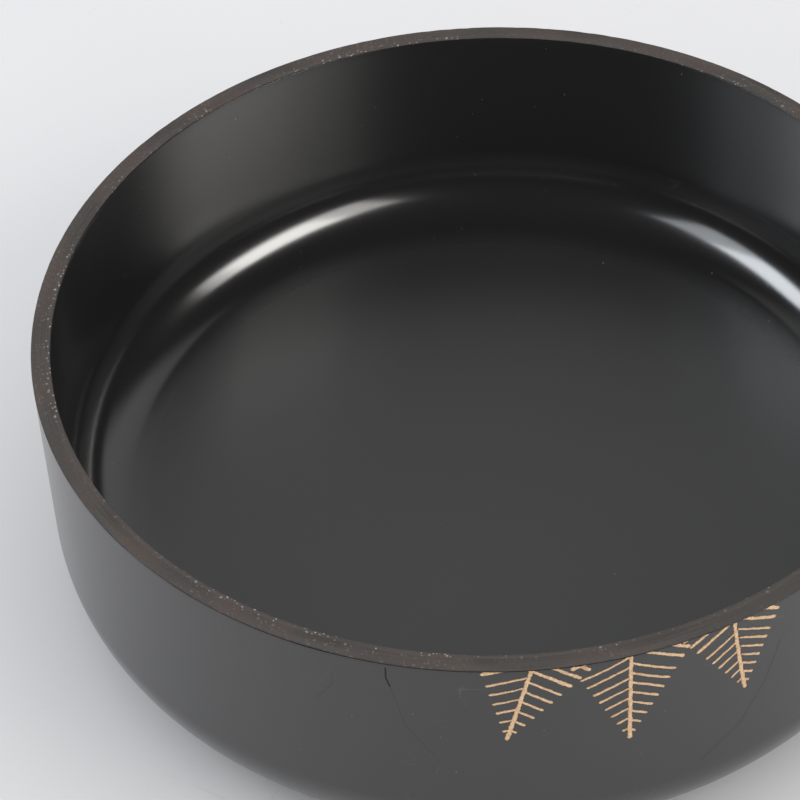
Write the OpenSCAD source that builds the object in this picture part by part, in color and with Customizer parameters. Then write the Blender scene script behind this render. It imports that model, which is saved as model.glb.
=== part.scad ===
// Shallow round lacquered bowl with painted gold fern sprigs hanging from its rim.
// The origin is at the centre of the resting plane, +Z is up and the sprigs face -Y.
// Millimetres and degrees.

/* [Bowl] */
// Outer diameter of the straight wall, over the lacquer
bowl_d = 180; // [160:1:200]
// Height from the resting plane to the flat rim face
bowl_h = 60; // [56:1:75]
// Outer radius of the rounded bottom corner
corner_r = 20; // [12:1:24]
// Thickness of the straight wall, lacquer included
wall_t = 3.8; // [3:0.1:6]
// Depth of the middle of the inner floor below the rim
inner_depth = 51; // [44:0.5:51]
// Radius of the sphere that the gently dished inner floor is part of
dish_r = 470; // [450:10:1500]
// Radius between the inner wall and the floor
fillet_r = 13.5; // [10:0.5:20]
// Thickness of each lacquer coat
coat_t = 0.25; // [0.15:0.05:0.4]

/* [Foot ring] */
// Outer diameter of the foot ring
foot_d = 132; // [100:1:136]
// Width of the foot ring, lacquer included
foot_w = 5; // [3:0.5:8]
// How far the foot ring stands below the base
foot_h = 1.5; // [1:0.1:3]
// Depth of the hollow inside the foot ring
recess_depth = 4.5; // [4.2:0.1:5]
// Radius between the foot ring and the roof of the hollow
recess_r = 2; // [1:0.5:3]

/* [Gold sprigs] */
// How far the painted strokes stand out of the lacquer
stroke_relief = 0.12; // [0.05:0.01:0.3]
// Width of a stem stroke
stem_w = 0.9; // [0.6:0.05:1.4]
// Width of a barb stroke
barb_w = 0.65; // [0.4:0.05:1]
// Bare black edge left between the rim face and the strokes
edge_gap = 0.3; // [0.2:0.1:1]

/* [Hidden] */
// Each sprig is its tip's angle from the front, the tip's drop below the rim, the lean of
// its stem, its left barbs, its right barbs and the two angles that it keeps between.
// Barbs are the distance from the tip to the lowest one, their pitch, their droop and
// their length as a share of the distance from the tip.
LEFT_SPRIG = [-14.2, 19, 13.3, [2.65, 2.95, 29, 0.44], [2.6, 2.75, 23.5, 0.45], [-30, -5.6]];
MIDDLE_SPRIG = [0, 22.8, -0.4, [2.85, 2.8, 25, 0.43], [2.3, 2.65, 29, 0.46], [-5.6, 7.1]];
RIGHT_SPRIG = [14.6, 19.6, -8.4, [3.3, 2.75, 27.5, 0.43], [2.3, 2.55, 37.5, 0.47], [7.1, 30]];

// The strokes are laid out this far past the rim and then cut off at it.
overrun = 8;
// Cutters run this far past the faces that they cut.
eps = 1;
bowl_r = bowl_d / 2;
inner_r = bowl_r - wall_t;
floor_z = bowl_h - inner_depth;
foot_r = foot_d / 2;
foot_inner_r = foot_r - foot_w;
// Centre height of the floor's sphere, and centre of the arc that blends it into the wall.
dish_z = floor_z + dish_r;
fillet_x = inner_r - fillet_r;
fillet_z = dish_z - sqrt(pow(dish_r - fillet_r, 2) - pow(fillet_x, 2));
// Slope of the floor where that arc takes over.
edge_slope = asin(fillet_x / (dish_r - fillet_r));

lacquer = [0.1, 0.1, 0.11];
bare_core = [0.34, 0.3, 0.27];
gold = [0.86, 0.68, 0.44];

$fn = 128;

// Half section of a straight-sided tub: radius r from the axis, rounded at the bottom by c.
module tub(r, c, bottom, top) {
    translate([0, bottom + c]) square([r, top - bottom - c]);
    translate([0, bottom]) square([r - c, c]);
    intersection() {
        translate([r - c, bottom + c]) circle(c);
        translate([r - c, bottom]) square(c);
    }
}

// Half section of the outside above the foot, set back by t.
module outside(t) {
    tub(bowl_r - t, corner_r - t, foot_h + t, bowl_h);
}

// Half section of the space inside the bowl, grown by t and open past the rim.
module inside(t) {
    reach = dish_r + t + eps;
    beyond = [reach * sin(edge_slope), dish_z - reach * cos(edge_slope)];
    translate([0, fillet_z]) square([inner_r + t, bowl_h + eps - fillet_z]);
    intersection() {
        translate([fillet_x, fillet_z]) circle(fillet_r + t);
        polygon([[fillet_x, fillet_z], beyond, [bowl_r, beyond[1]], [bowl_r, fillet_z]]);
    }
    intersection() {
        translate([0, dish_z]) circle(dish_r + t, $fn = 2048);
        polygon([[0, fillet_z], [0, dish_z - reach], beyond, [fillet_x, fillet_z]]);
    }
}

// Half section of the hollow inside the foot ring, grown by t and open past the resting plane.
module hollow(t) {
    mirror([0, 1]) tub(foot_inner_r + t, recess_r + t, -recess_depth - t, eps);
}

// The turned bowl itself, bare at the rim and at the sole of the foot ring.
module turned_core() {
    color(bare_core) rotate_extrude() difference() {
        union() {
            outside(coat_t);
            square([foot_r - coat_t, foot_h + coat_t]);
        }
        inside(coat_t);
        hollow(coat_t);
    }
}

// Black coat on the inner wall and floor.
module inner_lacquer() {
    color(lacquer) rotate_extrude() difference() {
        intersection() {
            inside(coat_t);
            square([bowl_r, bowl_h]);
        }
        inside(0);
    }
}

// Black coat on the outer wall, the bottom corner and the outer side of the foot ring.
module outer_lacquer() {
    color(lacquer) rotate_extrude() difference() {
        union() {
            outside(0);
            square([foot_r, foot_h + coat_t]);
        }
        outside(coat_t);
        translate([0, -eps]) square([foot_r - coat_t, foot_h + coat_t + 2 * eps]);
    }
}

// Black coat on the inner side of the foot ring and on the roof of its hollow.
module foot_lacquer() {
    color(lacquer) rotate_extrude() difference() {
        intersection() {
            hollow(coat_t);
            square([bowl_r, bowl_h]);
        }
        hollow(0);
    }
}

// Flat brush stroke w wide with round ends, from the origin along +X for len.
module stroke(len, w) {
    translate([0, -w / 2]) square([len, w]);
    circle(d = w);
    translate([len, 0]) circle(d = w);
}

// Flat stem of a sprig, from its tip at the origin straight up past the rim.
module stem_outline(sprig) {
    rotate(90) stroke(sprig[1] + overrun, stem_w);
}

// Flat barbs on one side of a sprig: side is -1 for the left and 1 for the right.
module barbs_outline(sprig, side) {
    row = side < 0 ? sprig[3] : sprig[4];
    difference() {
        for (along = [row[0] : row[1] : sprig[1] + overrun])
            translate([0, along]) mirror([side < 0 ? 1 : 0, 0])
                rotate(-row[2]) stroke(row[3] * along, barb_w);
        stem_outline(sprig);
    }
}

// Wraps a flat outline, with a sprig's tip at its origin, onto the wall below the rim.
module painted(sprig) {
    band_h = sprig[1] + stem_w;
    color(gold) intersection() {
        rotate(sprig[5][0] - 90) rotate_extrude(angle = sprig[5][1] - sprig[5][0])
            translate([bowl_r, bowl_h - band_h]) square([stroke_relief, band_h - edge_gap]);
        rotate(sprig[0]) translate([0, -bowl_r / 2, bowl_h - sprig[1]]) rotate([90, 0, 0])
            linear_extrude(bowl_r) rotate(-sprig[2]) children();
    }
}

// Stem of a sprig, painted on the wall.
module stem(sprig) {
    painted(sprig) stem_outline(sprig);
}

// Barbs on one side of a sprig, painted on the wall.
module barbs(sprig, side) {
    painted(sprig) barbs_outline(sprig, side);
}

turned_core();
inner_lacquer();
outer_lacquer();
foot_lacquer();
stem(LEFT_SPRIG);  // left_sprig_stem
barbs(LEFT_SPRIG, -1);  // left_sprig_left_barbs
barbs(LEFT_SPRIG, 1);  // left_sprig_right_barbs
stem(MIDDLE_SPRIG);  // middle_sprig_stem
barbs(MIDDLE_SPRIG, -1);  // middle_sprig_left_barbs
barbs(MIDDLE_SPRIG, 1);  // middle_sprig_right_barbs
stem(RIGHT_SPRIG);  // right_sprig_stem
barbs(RIGHT_SPRIG, -1);  // right_sprig_left_barbs
barbs(RIGHT_SPRIG, 1);  // right_sprig_right_barbs
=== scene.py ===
"""Shallow black lacquered bowl with three gold fern sprigs painted under its bare rim.

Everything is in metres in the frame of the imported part: +Z is up, the bowl rests on z = 0 and
the sprigs face -Y. The looks are built as turned skins, painted strokes and node materials.
"""
from math import asin, cos, pi, radians, sin, sqrt, tan

import bmesh
import bpy
import numpy as np
from mathutils import Matrix, Vector


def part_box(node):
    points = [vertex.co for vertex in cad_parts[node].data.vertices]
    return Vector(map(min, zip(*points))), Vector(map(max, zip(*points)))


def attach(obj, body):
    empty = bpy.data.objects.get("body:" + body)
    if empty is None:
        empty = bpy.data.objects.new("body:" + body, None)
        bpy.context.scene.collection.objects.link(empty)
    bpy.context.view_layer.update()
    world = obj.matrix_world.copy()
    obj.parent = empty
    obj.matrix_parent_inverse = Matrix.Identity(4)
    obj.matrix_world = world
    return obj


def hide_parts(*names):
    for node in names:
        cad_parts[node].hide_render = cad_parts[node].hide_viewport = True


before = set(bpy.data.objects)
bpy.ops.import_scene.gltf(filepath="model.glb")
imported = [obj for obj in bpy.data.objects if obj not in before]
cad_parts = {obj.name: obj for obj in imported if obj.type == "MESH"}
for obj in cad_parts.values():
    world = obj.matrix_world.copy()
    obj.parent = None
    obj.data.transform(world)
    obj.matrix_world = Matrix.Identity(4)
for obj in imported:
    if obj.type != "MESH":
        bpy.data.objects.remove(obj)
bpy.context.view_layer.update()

MM = 0.001

# Sizes read from the frame.
BOWL_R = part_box("outer_lacquer")[1].x
RIM_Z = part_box("turned_core")[1].z
COAT = BOWL_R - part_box("turned_core")[1].x
INNER_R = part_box("inner_lacquer")[1].x - COAT
FLOOR_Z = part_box("inner_lacquer")[0].z + COAT
HOLLOW_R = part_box("foot_lacquer")[1].x - COAT
HOLLOW_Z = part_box("foot_lacquer")[1].z - COAT
RELIEF = -BOWL_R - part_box("middle_sprig_stem")[0].y

# Sizes that no box gives, the same as in the part's source.
CORNER_R = 20 * MM
FOOT_R = 66 * MM
FOOT_H = 1.5 * MM
HOLLOW_CORNER_R = 2 * MM
DISH_R = 470 * MM
FILLET_R = 13.5 * MM
STEM_W = 0.9 * MM
BARB_W = 0.65 * MM
EDGE_GAP = 0.3 * MM

# Wear at the rim: how far the coats' edges lie below it and how round they are, how thick the
# bare lip above them is and how far that lip stays behind the coats.
COAT_DROP = 0.26 * MM
COAT_TURN = 0.1 * MM
LIP_H = 0.2 * MM
LIP_IN = 0.06 * MM
COAT_Z = RIM_Z - COAT_DROP

# Depths of the coats' backs and of the core's skin, which leave a hair's gap between them.
BACK = 0.98 * COAT
SKIN = 1.02 * COAT

DISH_Z = FLOOR_Z + DISH_R
FILLET_X = INNER_R - FILLET_R
FILLET_Z = DISH_Z - sqrt((DISH_R - FILLET_R) ** 2 - FILLET_X**2)
EDGE_SLOPE = asin(FILLET_X / (DISH_R - FILLET_R))

# The satin finish of the inner floor fades out this far to each side of the floor's edge.
SATIN_EDGE = 4 * MM

# Each sprig: its tip's angle from the front, the tip's drop below the rim and the stem's lean.
# Its barbs on each side: distance from the tip to the lowest one, pitch, droop, length as a
# share of the distance from the tip, and how much higher the ones past the rim sit.
# Millimetres and degrees.
SPRIGS = {
    "left": (-14.2, 19.0, 13.3, (2.65, 2.95, 29.0, 0.44, 0.8), (2.6, 2.75, 23.5, 0.45, 0.1)),
    "middle": (0.0, 22.8, -0.4, (2.85, 2.8, 25.0, 0.43, 1.5), (2.3, 2.65, 29.0, 0.46, 0.8)),
    "right": (14.6, 19.6, -8.4, (3.3, 2.75, 27.5, 0.43, 0.8), (2.3, 2.55, 37.5, 0.47, 0.8)),
}
# The strokes are laid out this far past the rim, in millimetres, and then cut off below it.
OVERRUN = 8.0

rng = np.random.default_rng(7)


# ---------------------------------------------------------------- node materials


class Nodes:
    """A node tree with short ways to add and join nodes."""

    def __init__(self, tree):
        self.tree = tree

    def add(self, kind, inputs=None, **settings):
        """Adds a node, sets its settings and gives its inputs values or links."""
        node = self.tree.nodes.new(kind)
        for key, value in settings.items():
            setattr(node, key, value)
        for key, value in (inputs or {}).items():
            self.give(node.inputs[key], value)
        return node

    def give(self, socket, value):
        """Links value to the socket if it is an output, and sets it otherwise."""
        if isinstance(value, bpy.types.NodeSocket):
            self.tree.links.new(value, socket)
        else:
            socket.default_value = value

    def math(self, operation, *values, clamp=False):
        """One arithmetic step on numbers."""
        inputs = dict(enumerate(values))
        return self.add("ShaderNodeMath", inputs, operation=operation, use_clamp=clamp).outputs[0]

    def vector(self, operation, *values):
        """One step on vectors that gives a vector."""
        inputs = dict(enumerate(values))
        return self.add("ShaderNodeVectorMath", inputs, operation=operation).outputs["Vector"]

    def measure(self, operation, *values):
        """One step on vectors that gives a number."""
        inputs = dict(enumerate(values))
        return self.add("ShaderNodeVectorMath", inputs, operation=operation).outputs["Value"]

    def remap(self, value, low, high, to_low=0.0, to_high=1.0):
        """Carries low..high smoothly over to to_low..to_high."""
        inputs = {0: value, 1: low, 2: high, 3: to_low, 4: to_high}
        node = self.add("ShaderNodeMapRange", inputs, interpolation_type="SMOOTHSTEP")
        return node.outputs[0]

    def mix(self, share, a, b):
        """Blends colour a into colour b."""
        return self.add("ShaderNodeMix", {0: share, 6: a, 7: b}, data_type="RGBA").outputs[2]


class Shader(Nodes):
    """A principled material whose textures lie in the object's own coordinates."""

    def __init__(self, name):
        self.material = bpy.data.materials.new(name)
        self.material.use_nodes = True
        super().__init__(self.material.node_tree)
        self.bsdf = self.tree.nodes["Principled BSDF"]
        self.place = self.add("ShaderNodeTexCoord").outputs["Object"]

    def stretched(self, scale, turn=(0.0, 0.0, 0.0), place=None):
        """The place on the object, turned and scaled for a texture."""
        inputs = {"Vector": place or self.place, "Scale": scale, "Rotation": turn}
        return self.add("ShaderNodeMapping", inputs).outputs[0]

    def noise(self, scale, detail=2.0, place=None, distortion=0.0):
        """Fractal noise from 0 to 1."""
        inputs = {"Vector": place or self.place, "Scale": scale, "Detail": detail,
                  "Distortion": distortion}
        return self.add("ShaderNodeTexNoise", inputs).outputs[0]

    def specks(self, scale, size, share, place=None):
        """1 on small round dots in a share of the cells of a random grid, and 0 elsewhere."""
        inputs = {"Vector": place or self.place, "Scale": scale}
        cells = self.add("ShaderNodeTexVoronoi", inputs)
        near = self.remap(cells.outputs["Distance"], size, 0.4 * size)
        chance = self.add("ShaderNodeSeparateColor", {"Color": cells.outputs["Color"]})
        chosen = self.math("LESS_THAN", chance.outputs[0], share)
        return self.math("MULTIPLY", near, chosen)

    def hairlines(self, scale, width, cover, place=None):
        """1 on thin broken lines, where slow noise crosses its middle value."""
        slow = self.noise(scale, 0.0, place, 0.6)
        off = self.math("ABSOLUTE", self.math("SUBTRACT", slow, 0.5))
        thin = self.remap(off, width, 0.3 * width)
        shown = self.remap(self.noise(1.7 * scale, 1.0), 1 - cover, 1.02 - cover)
        return self.math("MULTIPLY", thin, shown)

    def scratch(self, radius, places, width):
        """1 along a thin wandering line on a turned wall, through places as angle and height."""
        wander = self.math("MULTIPLY", self.noise(220, 1), 0.3 * width)
        unrolled = self.stretched((radius, 0, 1), place=self.around()[0])
        corners = [Vector((radians(a - 90) * radius, 0, height * MM)) for a, height in places]
        line = 0.0
        for start, end in zip(corners, corners[1:]):
            axis = end - start
            away = self.vector("SUBTRACT", unrolled, tuple(start))
            along = self.measure("DOT_PRODUCT", away, tuple(axis / axis.length_squared))
            along = self.math("MULTIPLY", along, 1.0, clamp=True)
            inputs = {0: tuple(axis), "Scale": along}
            foot = self.add("ShaderNodeVectorMath", inputs, operation="SCALE").outputs["Vector"]
            gap = self.math("ADD", self.measure("DISTANCE", away, foot), wander)
            line = self.math("MAXIMUM", line, self.remap(gap, width, 0.3 * width))
        return line

    def around(self):
        """Place as angle, distance from the axis and height, and that distance alone."""
        parts = self.add("ShaderNodeSeparateXYZ", {0: self.place}).outputs
        angle = self.math("ARCTAN2", parts[1], parts[0])
        length = self.measure("LENGTH", self.vector("MULTIPLY", self.place, (1, 1, 0)))
        joined = {0: angle, 1: length, 2: parts[2]}
        return self.add("ShaderNodeCombineXYZ", joined).outputs[0], length

    def finish(self, colour, roughness, height, depth):
        """Joins colour, roughness and a bump of the given depth, and returns the material."""
        self.give(self.bsdf.inputs["Base Color"], colour)
        self.give(self.bsdf.inputs["Roughness"], roughness)
        inputs = {"Height": height, "Distance": depth, "Strength": 1.0}
        self.give(self.bsdf.inputs["Normal"], self.add("ShaderNodeBump", inputs).outputs[0])
        return self.material


def lacquer(name, gloss, floor_gloss, shine, dust, wear, radius, marks):
    """Black lacquer with hairlines and dust: glossy on the wall, satin on the inner floor.

    gloss and floor_gloss are roughnesses and shine is the index of refraction. marks lie on a
    turned wall of the given radius.
    """
    s = Shader(name)
    cloud = s.noise(25, 3)
    haze = s.remap(s.noise(9, 4), 0.35, 0.75)
    black = s.mix(cloud, (0.0095, 0.0095, 0.01, 1), (0.013, 0.0128, 0.0128, 1))
    rubbed = s.hairlines(34, 0.003, 0.42 * wear, s.stretched((1, 1, 2.2), (0.3, 0.5, 0.2)))
    crossed = s.hairlines(60, 0.005, 0.36 * wear, s.stretched((1.6, 0.7, 1), (0.9, 0.1, 1.2)))
    lines = s.math("MAXIMUM", rubbed, crossed)
    grains = s.math("MAXIMUM", s.specks(420, 0.085, dust), s.specks(900, 0.12, dust))
    colour = s.mix(s.math("MULTIPLY", lines, 0.04), black, (0.5, 0.5, 0.5, 1))
    colour = s.mix(s.math("MULTIPLY", grains, 0.4), colour, (0.45, 0.44, 0.42, 1))

    on_floor = s.remap(s.around()[1], FILLET_X + SATIN_EDGE, FILLET_X - SATIN_EDGE)
    rough = s.math("ADD", s.math("MULTIPLY", haze, 0.02), gloss)
    rough = s.math("ADD", rough, s.math("MULTIPLY", on_floor, floor_gloss - gloss))
    rough = s.math("ADD", rough, s.math("MULTIPLY", lines, 0.08))
    rough = s.math("ADD", rough, s.math("MULTIPLY", grains, 0.4))

    level = 0.5
    for places, width, strength in marks:
        line = s.math("MULTIPLY", s.scratch(radius, places, width * MM), strength)
        level = s.math("ADD", level, line)
    s.bsdf.inputs["IOR"].default_value = shine
    s.give(s.bsdf.inputs["Specular IOR Level"], level)
    height = s.math("ADD", s.noise(260, 3), s.math("MULTIPLY", lines, -0.3))
    return s.finish(colour, rough, height, 0.003 * MM)


def bare_core(name):
    """Bare turned core: matt grey-brown with turning marks, reddish patches and nicks with painted
    pale glints.
    """
    s = Shader(name)
    radius = s.around()[1]
    wander = s.math("MULTIPLY", s.noise(18, 1), 5.0)
    across = s.math("MULTIPLY", radius, 2200.0)
    streaks = s.add("ShaderNodeCombineXYZ", {0: across, 1: wander}).outputs[0]
    rings = s.remap(s.noise(1, 3, streaks), 0.25, 0.75)
    patches = s.remap(s.noise(70, 3), 0.42, 0.62)
    grain = s.remap(s.noise(1500, 4), 0.3, 0.7)
    taupe = s.mix(rings, (0.04, 0.034, 0.029, 1), (0.069, 0.061, 0.053, 1))
    reddish = s.mix(s.math("MULTIPLY", patches, 0.6), taupe, (0.078, 0.056, 0.05, 1))
    colour = s.mix(s.math("MULTIPLY", grain, 0.3), reddish, (0.036, 0.032, 0.029, 1))
    inner_edge = s.remap(radius, INNER_R + 1.6 * MM, INNER_R + 0.3 * MM)
    # Nicks in the rim, most of them near its inner edge: sunk in the bump, and painted pale as
    # glints of light on their broken edges.
    glinting_nicks = s.math("MAXIMUM", s.specks(800, 0.32, 0.4), s.specks(1500, 0.36, 0.45))
    worn = s.remap(s.noise(45, 1), 0.42, 0.56)
    glinting_nicks = s.math("MULTIPLY", glinting_nicks, s.math("MULTIPLY_ADD", inner_edge, 0.85, 0.15))
    glinting_nicks = s.math("MULTIPLY", glinting_nicks, s.math("MULTIPLY_ADD", worn, 0.8, 0.2))
    # Painted highlight: the nicks take a pale colour that stands for glints.
    colour = s.mix(s.math("MULTIPLY", glinting_nicks, 0.75), colour, (0.38, 0.37, 0.34, 1))
    rough = s.remap(grain, 0, 1, 0.5, 0.68)
    height = s.math("ADD", s.math("MULTIPLY", rings, 0.6), s.math("MULTIPLY", grain, 0.5))
    height = s.math("SUBTRACT", height, glinting_nicks)
    return s.finish(colour, rough, height, 0.05 * MM)


def gold_paint(name):
    """Sprinkled gold: pale warm metal powder, grainy, thinner and browner in places."""
    s = Shader(name)
    powder = s.remap(s.noise(2600, 2), 0.3, 0.7)
    thin = s.remap(s.noise(420, 2), 0.55, 0.72)
    colour = s.mix(powder, (0.66, 0.425, 0.235, 1), (0.88, 0.62, 0.395, 1))
    colour = s.mix(s.math("MULTIPLY", thin, 0.4), colour, (0.42, 0.24, 0.12, 1))
    rough = s.remap(powder, 0, 1, 0.56, 0.42)
    s.bsdf.inputs["Metallic"].default_value = 0.55
    return s.finish(colour, rough, powder, 0.02 * MM)


def pale_board(name):
    """Plain pale tabletop with faint fibres and specks."""
    s = Shader(name)
    cloud = s.remap(s.noise(5, 4), 0.3, 0.7)
    colour = s.mix(cloud, (0.615, 0.615, 0.626, 1), (0.64, 0.638, 0.645, 1))
    fibres = s.hairlines(28, 0.003, 0.4)
    colour = s.mix(s.math("MULTIPLY", fibres, 0.12), colour, (0.35, 0.35, 0.36, 1))
    dots = s.specks(160, 0.05, 0.12)
    colour = s.mix(s.math("MULTIPLY", dots, 0.25), colour, (0.3, 0.3, 0.3, 1))
    return s.finish(colour, 0.6, cloud, 0.05 * MM)


# ---------------------------------------------------------------- turned skins


# Segments round the axis.
COAT_SEGMENTS = 512
CORE_SEGMENTS = 720
FOOT_SEGMENTS = 360


def arc(centre_r, centre_z, radius, start, end, steps):
    """Points of an arc in the half plane of r and z, with angles in radians from +r."""
    angles = np.linspace(start, end, steps)
    return np.column_stack((centre_r + radius * np.cos(angles), centre_z + radius * np.sin(angles)))


def run(start, end, steps):
    """Evenly spaced points from start to end, both included."""
    return np.linspace(start, end, steps)


def joined(*stretches):
    """One outline from several stretches, without the points that they share."""
    points = np.vstack(stretches)
    keep = np.linalg.norm(np.diff(points, axis=0), axis=1) > 1e-8
    return points[np.r_[True, keep]]


def inner_outline(grow, top_z, wall_steps, fillet_steps, dish_steps):
    """The bowl's inside, grown, from top_z down the wall and across the floor to the axis."""
    wall_r = INNER_R + grow
    turn = -pi / 2 + EDGE_SLOPE
    return joined(
        run((wall_r, top_z), (wall_r, FILLET_Z), wall_steps),
        arc(FILLET_X, FILLET_Z, FILLET_R + grow, 0, turn, fillet_steps),
        arc(0, DISH_Z, DISH_R + grow, turn, -pi / 2, dish_steps),
    )


def outer_outline(shrink, top_z, wall_steps, corner_steps):
    """The bowl's outside, set back, from top_z down the wall and round the corner."""
    wall_r = BOWL_R - shrink
    corner_r = CORNER_R - shrink
    base_z = FOOT_H + shrink
    return joined(
        run((wall_r, top_z), (wall_r, base_z + corner_r), wall_steps),
        arc(wall_r - corner_r, base_z + corner_r, corner_r, 0, -pi / 2, corner_steps),
    )


def hollow_outline(grow, steps):
    """The hollow inside the foot ring, grown, from the sole up the wall and to the axis."""
    wall_r = HOLLOW_R + grow
    corner_r = HOLLOW_CORNER_R + grow
    roof_z = HOLLOW_Z + grow
    return joined(
        run((wall_r, 0), (wall_r, roof_z - corner_r), 6),
        arc(wall_r - corner_r, roof_z - corner_r, corner_r, 0, pi / 2, steps),
        run((wall_r - corner_r, roof_z), (0, roof_z), 3 * steps),
    )


def ripple(angle, along, height, waves, seed):
    """Slow unevenness of a turned skin, from 0 to minus height, always the same for a seed."""
    draw = np.random.default_rng(seed)
    total = np.zeros(np.broadcast(angle, along).shape)
    for turns in range(2, 2 + waves):
        shift, slide = draw.uniform(0, 2 * pi, 2)
        length = draw.uniform(25, 60) * MM
        total += np.cos(turns * angle + shift) * np.cos(2 * pi * along / length + slide) / turns
    return -height * (total - total.min()) / np.ptp(total)


def chips(angle, deepest, pitch, share, seed):
    """Depth of random nicks round an edge, which are up to pitch degrees to each side."""
    draw = np.random.default_rng(seed)
    count = int(360 / pitch)
    depth = np.zeros(np.shape(angle))
    for _ in range(int(count * share)):
        centre, wide = draw.uniform(0, 2 * pi), draw.uniform(0.2, 1.0) * radians(pitch)
        away = np.abs((angle - centre + pi) % (2 * pi) - pi) / wide
        depth = np.maximum(depth, draw.uniform(0.2, 1) * np.clip(1 - away**2, 0, 1))
    return deepest * depth


def lathe(name, outline, segments, material, shape=None):
    """Turns an outline round the axis. shape(angle, r, z) may move its points."""
    angle = np.linspace(0, 2 * pi, segments, endpoint=False)[None, :]
    r = outline[:, 0][:, None] + 0 * angle
    z = outline[:, 1][:, None] + 0 * angle
    if shape:
        r, z = shape(angle + 0 * r, r, z)
    on_axis = outline[:, 0] < 1e-7
    index = np.zeros(r.shape, int)
    places = []
    for i in range(len(outline)):
        if on_axis[i]:
            index[i] = len(places)
            places.append((0, 0, float(z[i].mean())))
        else:
            index[i] = len(places) + np.arange(segments)
            places += list(zip(r[i] * np.cos(angle[0]), r[i] * np.sin(angle[0]), z[i]))
    closed = not (on_axis[0] and on_axis[-1])
    last = len(outline) if closed else len(outline) - 1
    area = outline[:, 0] * np.roll(outline[:, 1], -1) - np.roll(outline[:, 0], -1) * outline[:, 1]
    faces = []
    for i in range(last):
        a, b = index[i], index[(i + 1) % len(outline)]
        a2, b2 = np.roll(a, -1), np.roll(b, -1)
        corners = (a, a2, b2, b) if area.sum() > 0 else (a, b, b2, a2)
        for quad in zip(*corners):
            faces.append(tuple(dict.fromkeys(int(c) for c in quad)))
    return solid(name, places, faces, material)


def solid(name, places, faces, material):
    """A smooth-shaded mesh object that keeps its hard edges."""
    mesh = bpy.data.meshes.new(name)
    mesh.from_pydata(places, [], faces)
    piece = smooth_piece(name, mesh, material)
    mesh.set_sharp_from_angle(angle=radians(50))
    mesh.update()
    return piece


def smooth_piece(name, mesh, material):
    """Puts a mesh into the scene as a smooth-shaded object."""
    mesh.materials.append(material)
    mesh.polygons.foreach_set("use_smooth", [True] * len(mesh.polygons))
    piece = bpy.data.objects.new(name, mesh)
    bpy.context.scene.collection.objects.link(piece)
    return piece


def edge_wear(angle, r, z, depth, seed):
    """How far the coat's top edge has worn back from the rim, only near the rim."""
    near_edge = np.clip(1 - (COAT_Z - z) / (1.2 * MM), 0, 1)
    uneven = -ripple(angle, 0 * r, 0.05 * MM, 22, seed)
    return near_edge * (uneven + chips(angle, depth, 2.4, 0.4, seed + 1))


def make_inner_coat(material):
    """Black coat over the inner wall, the blend and the dished floor."""
    top = arc(INNER_R + COAT_TURN, COAT_Z - COAT_TURN, COAT_TURN, pi / 2, pi, 6)
    front = joined(top, inner_outline(0, COAT_Z - COAT_TURN, 28, 56, 72))
    back = inner_outline(BACK, COAT_Z, 6, 16, 16)[::-1]

    def shape(angle, r, z):
        along = FILLET_X - r + z
        sag = ripple(angle, along, 0.02 * MM, 7, 11)
        worn = edge_wear(angle, r, z, 0.05 * MM, 21)
        return r - sag * (z > FILLET_Z), z + sag * (z < FILLET_Z) * (r > 5 * MM) - worn

    return lathe("inner_lacquer_coat", joined(front, back), COAT_SEGMENTS, material, shape)


def make_outer_coat(material):
    """Black coat over the outer wall, the corner, the base and the outside of the foot ring."""
    top = arc(BOWL_R - COAT_TURN, COAT_Z - COAT_TURN, COAT_TURN, pi / 2, 0, 6)
    front = joined(top, outer_outline(0, COAT_Z - COAT_TURN, 40, 40))
    foot = joined(run((FOOT_R + 0.6 * MM, FOOT_H), (FOOT_R, FOOT_H - 0.5 * MM), 5),
                  run((FOOT_R, FOOT_H - 0.6 * MM), (FOOT_R, 0.15 * MM), 4),
                  [(FOOT_R - 0.12 * MM, 0)], [(FOOT_R - COAT, 0)])
    back = joined([(FOOT_R - COAT, FOOT_H + COAT)], outer_outline(BACK, COAT_Z, 8, 16)[::-1])

    def shape(angle, r, z):
        along = z - r
        sag = ripple(angle, along, 0.02 * MM, 7, 12)
        worn = edge_wear(angle, r, z, 0.08 * MM, 31)
        return r + sag * (z > FOOT_H + 0.1 * MM), z - worn

    return lathe("outer_lacquer_coat", joined(front, foot, back), COAT_SEGMENTS, material, shape)


def make_foot_coat(material):
    """Black coat inside the foot ring and over the roof of its hollow."""
    front = hollow_outline(0, 12)
    back = hollow_outline(BACK, 6)[::-1]
    return lathe("foot_lacquer_coat", joined(front, back), FOOT_SEGMENTS, material)


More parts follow.
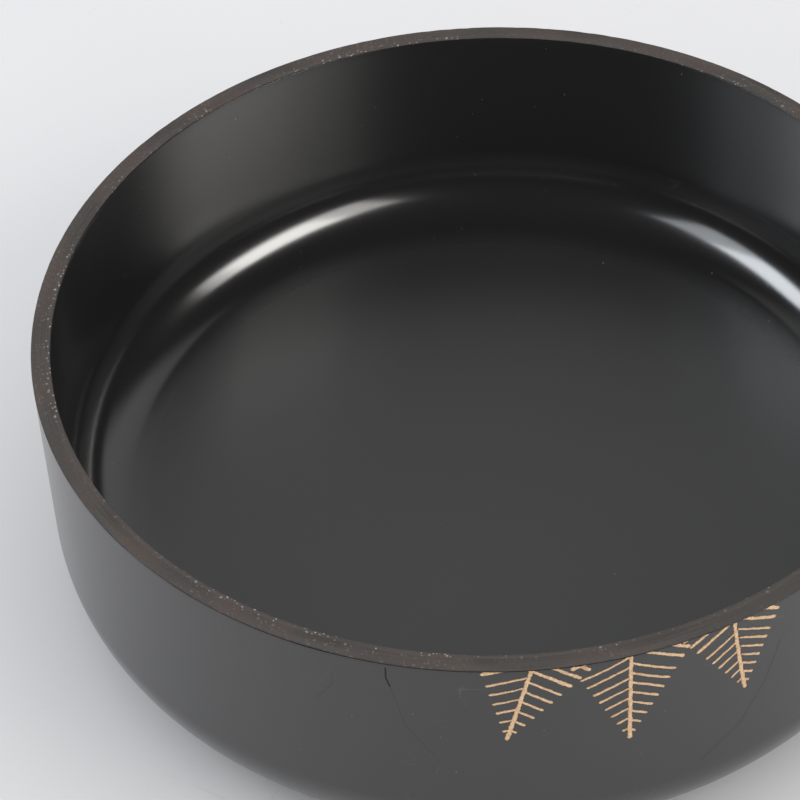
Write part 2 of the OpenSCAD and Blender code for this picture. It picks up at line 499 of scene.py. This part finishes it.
def make_core(material):
    """Turned core, which shows as the flat rim and as the sole of the foot ring."""
    bevel = 0.14 * MM
    under_z = RIM_Z - LIP_H
    inner_r, outer_r = INNER_R + LIP_IN, BOWL_R - LIP_IN
    inside = inner_outline(SKIN, under_z, 10, 16, 16)[::-1]
    rim = joined([(inner_r, under_z)],
                 arc(inner_r + bevel, RIM_Z - bevel, bevel, pi, pi / 2, 6),
                 run((inner_r + bevel, RIM_Z), (outer_r - bevel, RIM_Z), 12),
                 arc(outer_r - bevel, RIM_Z - bevel, bevel, pi / 2, 0, 6),
                 [(outer_r, under_z)])
    outside = outer_outline(SKIN, under_z, 10, 16)
    chamfer = 0.2 * MM
    sole_r = FOOT_R - SKIN
    hollow_r = HOLLOW_R + SKIN
    foot = joined([(sole_r, FOOT_H + SKIN)],
                  run((sole_r, chamfer), (sole_r - chamfer, 0), 3),
                  run((sole_r - chamfer, 0), (hollow_r + chamfer, 0), 10),
                  [(hollow_r, chamfer)])
    hollow = hollow_outline(SKIN, 6)
    outline = joined(inside, rim, outside, foot, hollow[hollow[:, 1] > chamfer])

    def shape(angle, r, z):
        on_rim = z > under_z - 0.01 * MM
        edge = np.minimum(np.abs(r - inner_r), np.abs(r - outer_r)) < 2 * bevel
        glinting_nicks = chips(angle, 0.07 * MM, 1.2, 0.5, 41) * edge
        uneven = -ripple(angle, 40 * r, 0.03 * MM, 30, 42)
        top = on_rim * (z > RIM_Z - 1.1 * bevel)
        return r, z - top * (glinting_nicks + uneven)

    return lathe("turned_core_bare", outline, CORE_SEGMENTS, material, shape)


# ---------------------------------------------------------------- painted strokes


# Length of a stroke between its cross-sections, the places of their points as shares of the
# half width, and how far the edges of a stroke sink into the coat.
STROKE_STEP = 0.28 * MM
STROKE_RING = [k / 3 for k in range(-3, 4)]
SUNK = 0.03 * MM


def on_wall(tip_angle, across, up, radius):
    """Carries a flat place of a sprig onto the wall at a radius."""
    angle = radians(tip_angle) + asin(max(-1.0, min(1.0, across / BOWL_R)))
    return radius * sin(angle), -radius * cos(angle), up


def stroke(bm, spread, start, end, width, root, head):
    """One brush stroke: a low rounded ribbon from start to end that swells and wavers.

    spread carries (across, up, lift) onto the wall. root and head are the widths at the ends
    as shares of the width, and the ends are round.
    """
    start, end = Vector(start), Vector(end)
    length = (end - start).length
    along = (end - start).normalized()
    side = Vector((-along.y, along.x))
    half = width / 2
    steps = max(8, int(length / STROKE_STEP))
    bow = rng.normal(0, 0.012) * length
    phases = rng.uniform(0, 2 * pi, 4)
    shift = rng.normal(0, 0.05 * MM)
    rings = []
    for i in range(steps + 1):
        t = i / steps
        s = t * (length + 2 * half) - half
        cap = min(s + half, length + half - s) / half
        cap = sqrt(max(0.0, 1 - (1 - min(1.0, cap)) ** 2))
        swell = root + (head - root) * t
        waver = 1 + 0.12 * sin(5 * s / width + phases[0]) + 0.1 * sin(2.1 * s / width + phases[1])
        wide = half * swell * waver * max(cap, 0.12)
        drift = bow * sin(pi * t) + 0.03 * MM * sin(1.3 * s / width + phases[2]) + shift
        centre = start + along * s + side * drift
        ring = []
        for u in STROKE_RING:
            lift = RELIEF * (0.25 + 0.7 * sqrt(1 - u * u)) * max(cap, 0.2)
            place = centre + side * (u * wide)
            ring.append(bm.verts.new(spread(place.x, place.y, lift if abs(u) < 1 else -SUNK)))
        rings.append(ring)
    for a, b in zip(rings, rings[1:]):
        for k in range(len(a)):
            bm.faces.new((a[k - 1], a[k], b[k], b[k - 1]))
    bm.faces.new(rings[0][::-1])
    bm.faces.new(rings[-1])


def painted(name, sprig, strokes, material):
    """A group of strokes of one sprig, wrapped onto the wall and cut off below the rim."""
    tip_angle, drop, lean = sprig[:3]
    turn = radians(lean)

    def spread(across, up, lift):
        x = across * cos(turn) + up * sin(turn)
        y = up * cos(turn) - across * sin(turn)
        return on_wall(tip_angle, x, RIM_Z - drop * MM + y, BOWL_R + lift)

    bm = bmesh.new()
    for one in strokes:
        stroke(bm, spread, *one)
    cut_z = RIM_Z - EDGE_GAP
    whole = bm.verts[:] + bm.edges[:] + bm.faces[:]
    cut = bmesh.ops.bisect_plane(bm, geom=whole, plane_co=(0, 0, cut_z), plane_no=(0, 0, 1),
                                 clear_outer=True)
    rims = [e for e in cut["geom_cut"] if isinstance(e, bmesh.types.BMEdge)]
    bmesh.ops.edgenet_fill(bm, edges=rims)
    bmesh.ops.recalc_face_normals(bm, faces=bm.faces)
    mesh = bpy.data.meshes.new(name)
    bm.to_mesh(mesh)
    bm.free()
    return smooth_piece(name, mesh, material)


def stem_strokes(sprig):
    """The stem: one long stroke from the tip to past the rim, thickest near its foot."""
    top = (sprig[1] + OVERRUN) * MM
    return [((0, 0), (0, top), 0.92 * STEM_W, 1.12, 0.9)]


def barb_strokes(sprig, side):
    """The barbs on one side, from near the stem outwards and down, longer towards the rim."""
    lowest, pitch, droop, share, raised = sprig[3] if side < 0 else sprig[4]
    drop = sprig[1]
    strokes = []
    for along in np.arange(lowest, drop + OVERRUN, pitch):
        along += raised * (along > drop)
        length = share * along * MM
        across, down = side * length * cos(radians(droop)), length * sin(radians(droop))
        gap = side * (0.3 + 0.25 * rng.random()) * STEM_W
        length *= 1 + rng.normal(0, 0.025)
        heavy = 1.25 if along > drop else 0.9
        start = (gap, along * MM - abs(gap) * tan(radians(droop)))
        end = (across, along * MM - down)
        strokes.append((start, end, BARB_W * heavy, rng.uniform(0.6, 1), rng.uniform(1, 1.3)))
    return strokes


def make_sprigs(material):
    """Stem, left barbs and right barbs of each sprig."""
    pieces = {}
    for where, sprig in SPRIGS.items():
        stem = f"{where}_sprig_stem"
        pieces[stem] = painted(f"{stem}_gold", sprig, stem_strokes(sprig), material)
        for hand, side in (("left", -1), ("right", 1)):
            node = f"{where}_sprig_{hand}_barbs"
            pieces[node] = painted(f"{node}_gold", sprig, barb_strokes(sprig, side), material)
    return pieces


# ---------------------------------------------------------------- camera, light and stage


# Level directions: roughly away from the camera, and to its right.
AHEAD = (0.139, 0.99, 0)
RIGHT = (0.966, -0.259, 0)

LIGHT_DISTANCE = 1.2
WARM_WHITE = (1.0, 0.98, 0.94)
COOL_WHITE = (0.9, 0.95, 1.0)

# Azimuth, elevation, width, height, radiance and colour of each soft light.
SOFTBOXES = {
    "right_softbox": (46, 41.5, 45, 20.5, 1.9, WARM_WHITE),
    "right_window": (50.5, 43, 25, 17.5, 2.5, WARM_WHITE),
    "left_softbox": (-99, 42, 42, 21, 1.4, COOL_WHITE),
    "left_window": (-109, 43, 24, 18.5, 2.4, COOL_WHITE),
}


def seen_from(azimuth, elevation, centre, distance):
    """Placing of something that looks at centre: angles in degrees, round from the front and up."""
    a, e = radians(azimuth), radians(elevation)
    back = Vector((sin(a) * cos(e), -cos(a) * cos(e), sin(e)))
    turn = (-back).to_track_quat("-Z", "Y").to_matrix().to_4x4()
    return Matrix.Translation(centre + back * distance) @ turn


def make_camera():
    """Long lens from 43.6 degrees up and 15 degrees round to the left of the sprigs."""
    azimuth, elevation, distance = -15, 43.636, 6.4638 * BOWL_R
    aim = seen_from(azimuth, elevation, Vector((0, 0, RIM_Z)), distance)
    pan = Matrix.Rotation(radians(1.794), 4, "Y")
    tilt = Matrix.Rotation(radians(-1.619), 4, "X")
    roll = Matrix.Rotation(radians(-1.139), 4, "Z")
    data = bpy.data.cameras.new("camera")
    data.sensor_width = 36
    data.lens = 134.05
    data.clip_start, data.clip_end = 0.01, 50
    camera = bpy.data.objects.new("camera", data)
    camera.matrix_world = aim @ pan @ tilt @ roll
    bpy.context.scene.collection.objects.link(camera)
    bpy.context.scene.camera = camera


def make_softbox(name, azimuth, elevation, wide, tall, radiance, colour):
    """Area light aimed at the bowl: angles seen from it in degrees, and its own brightness."""
    data = bpy.data.lights.new(name, "AREA")
    data.shape = "RECTANGLE"
    data.size = 2 * LIGHT_DISTANCE * tan(radians(wide / 2))
    data.size_y = 2 * LIGHT_DISTANCE * tan(radians(tall / 2))
    data.energy = radiance * pi * data.size * data.size_y
    data.color = colour
    light = bpy.data.objects.new(name, data)
    light.matrix_world = seen_from(azimuth, elevation, Vector((0, 0, 0)), LIGHT_DISTANCE)
    light.visible_camera = False
    bpy.context.scene.collection.objects.link(light)


def make_world():
    """Room light: a pale far wall in gloss, even soft fill on matt faces, and plain pale past
    the table."""
    world = bpy.data.worlds.new("room")
    world.use_nodes = True
    room = Nodes(world.node_tree)
    towards = room.add("ShaderNodeTexCoord").outputs["Generated"]
    path = room.add("ShaderNodeLightPath").outputs

    # The wall stands in front of the camera, fades out upwards and is brighter to the right.
    level = room.vector("NORMALIZE", room.vector("MULTIPLY", towards, (1, 1, 0)))
    far = room.remap(room.measure("DOT_PRODUCT", level, AHEAD), 0.36, 0.62)
    ahead = room.math("MAXIMUM", room.measure("DOT_PRODUCT", towards, AHEAD), 0.01)
    up = room.add("ShaderNodeSeparateXYZ", {0: towards}).outputs[2]
    low = room.remap(room.math("DIVIDE", up, ahead), 2.6, 1.5)
    side = room.math("MULTIPLY_ADD", room.measure("DOT_PRODUCT", towards, RIGHT), 0.6, 1.0)
    wall = room.math("MULTIPLY", room.math("MULTIPLY", low, far), side)
    wall = room.math("MULTIPLY_ADD", wall, 0.225, 0.01)

    def glow(colour, strength):
        inputs = {"Color": colour, "Strength": strength}
        return room.add("ShaderNodeBackground", inputs).outputs[0]

    def switch(share, otherwise, chosen):
        return room.add("ShaderNodeMixShader", {0: share, 1: otherwise, 2: chosen}).outputs[0]

    light = glow((0.99, 0.99, 1, 1), 1.12)
    light = switch(path["Is Glossy Ray"], light, glow((0.98, 0.99, 1, 1), wall))
    light = switch(path["Is Camera Ray"], light, glow((0.72, 0.73, 0.75, 1), 1.0))
    room.give(room.tree.nodes["World Output"].inputs["Surface"], light)
    bpy.context.scene.world = world


def make_floor(material):
    """Plain pale table, a large flat disc under the bowl."""
    bm = bmesh.new()
    bmesh.ops.create_circle(bm, cap_ends=True, segments=96, radius=6)
    mesh = bpy.data.meshes.new("table")
    bm.to_mesh(mesh)
    bm.free()
    mesh.materials.append(material)
    table = bpy.data.objects.new("table", mesh)
    bpy.context.scene.collection.objects.link(table)


# Marks on the outer and the inner wall: places as angle from the front in degrees and height
# in millimetres, width in millimetres, and how much more or less the lacquer shines there.
OUTER_MARKS = [
    (((-27.7, 58.7), (-27.7, 56), (-27.3, 53.9)), 0.32, -0.42),
    (((-27.3, 53.9), (-25.7, 43.3), (-22.2, 34.7)), 0.3, -0.09),
    (((-34.1, 54.2), (-34.2, 51.1), (-36.3, 45.9)), 0.35, -0.08),
    (((19.3, 48.6), (17.5, 39.2), (14.3, 30.4), (9.1, 24)), 0.45, -0.14),
]
INNER_MARKS = [
    (((250.7, 53.2), (246.9, 38.7), (245.5, 29.9)), 0.35, 0.45),
    (((254.2, 51.4), (252.4, 43.1)), 0.5, 0.35),
]

make_camera()
make_world()
make_floor(pale_board("pale_board"))
for name, settings in SOFTBOXES.items():
    make_softbox(name, *settings)

bpy.context.scene.view_settings.view_transform = "Standard"

inner_black = lacquer("inner_black_lacquer", gloss=0.16, floor_gloss=0.32, shine=2.6, dust=0.02,
                      wear=0.6, radius=INNER_R, marks=INNER_MARKS)
outer_black = lacquer("outer_black_lacquer", gloss=0.2, floor_gloss=0.2, shine=1.68, dust=0.03,
                      wear=0.9, radius=BOWL_R, marks=OUTER_MARKS)
foot_black = lacquer("foot_black_lacquer", gloss=0.25, floor_gloss=0.25, shine=1.68, dust=0.02,
                     wear=0.9, radius=FOOT_R, marks=[])

pieces = {
    "turned_core": make_core(bare_core("bare_core")),
    "inner_lacquer": make_inner_coat(inner_black),
    "outer_lacquer": make_outer_coat(outer_black),
    "foot_lacquer": make_foot_coat(foot_black),
}
pieces.update(make_sprigs(gold_paint("gold_powder")))

for node, piece in pieces.items():
    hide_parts(node)
    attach(piece, "root")
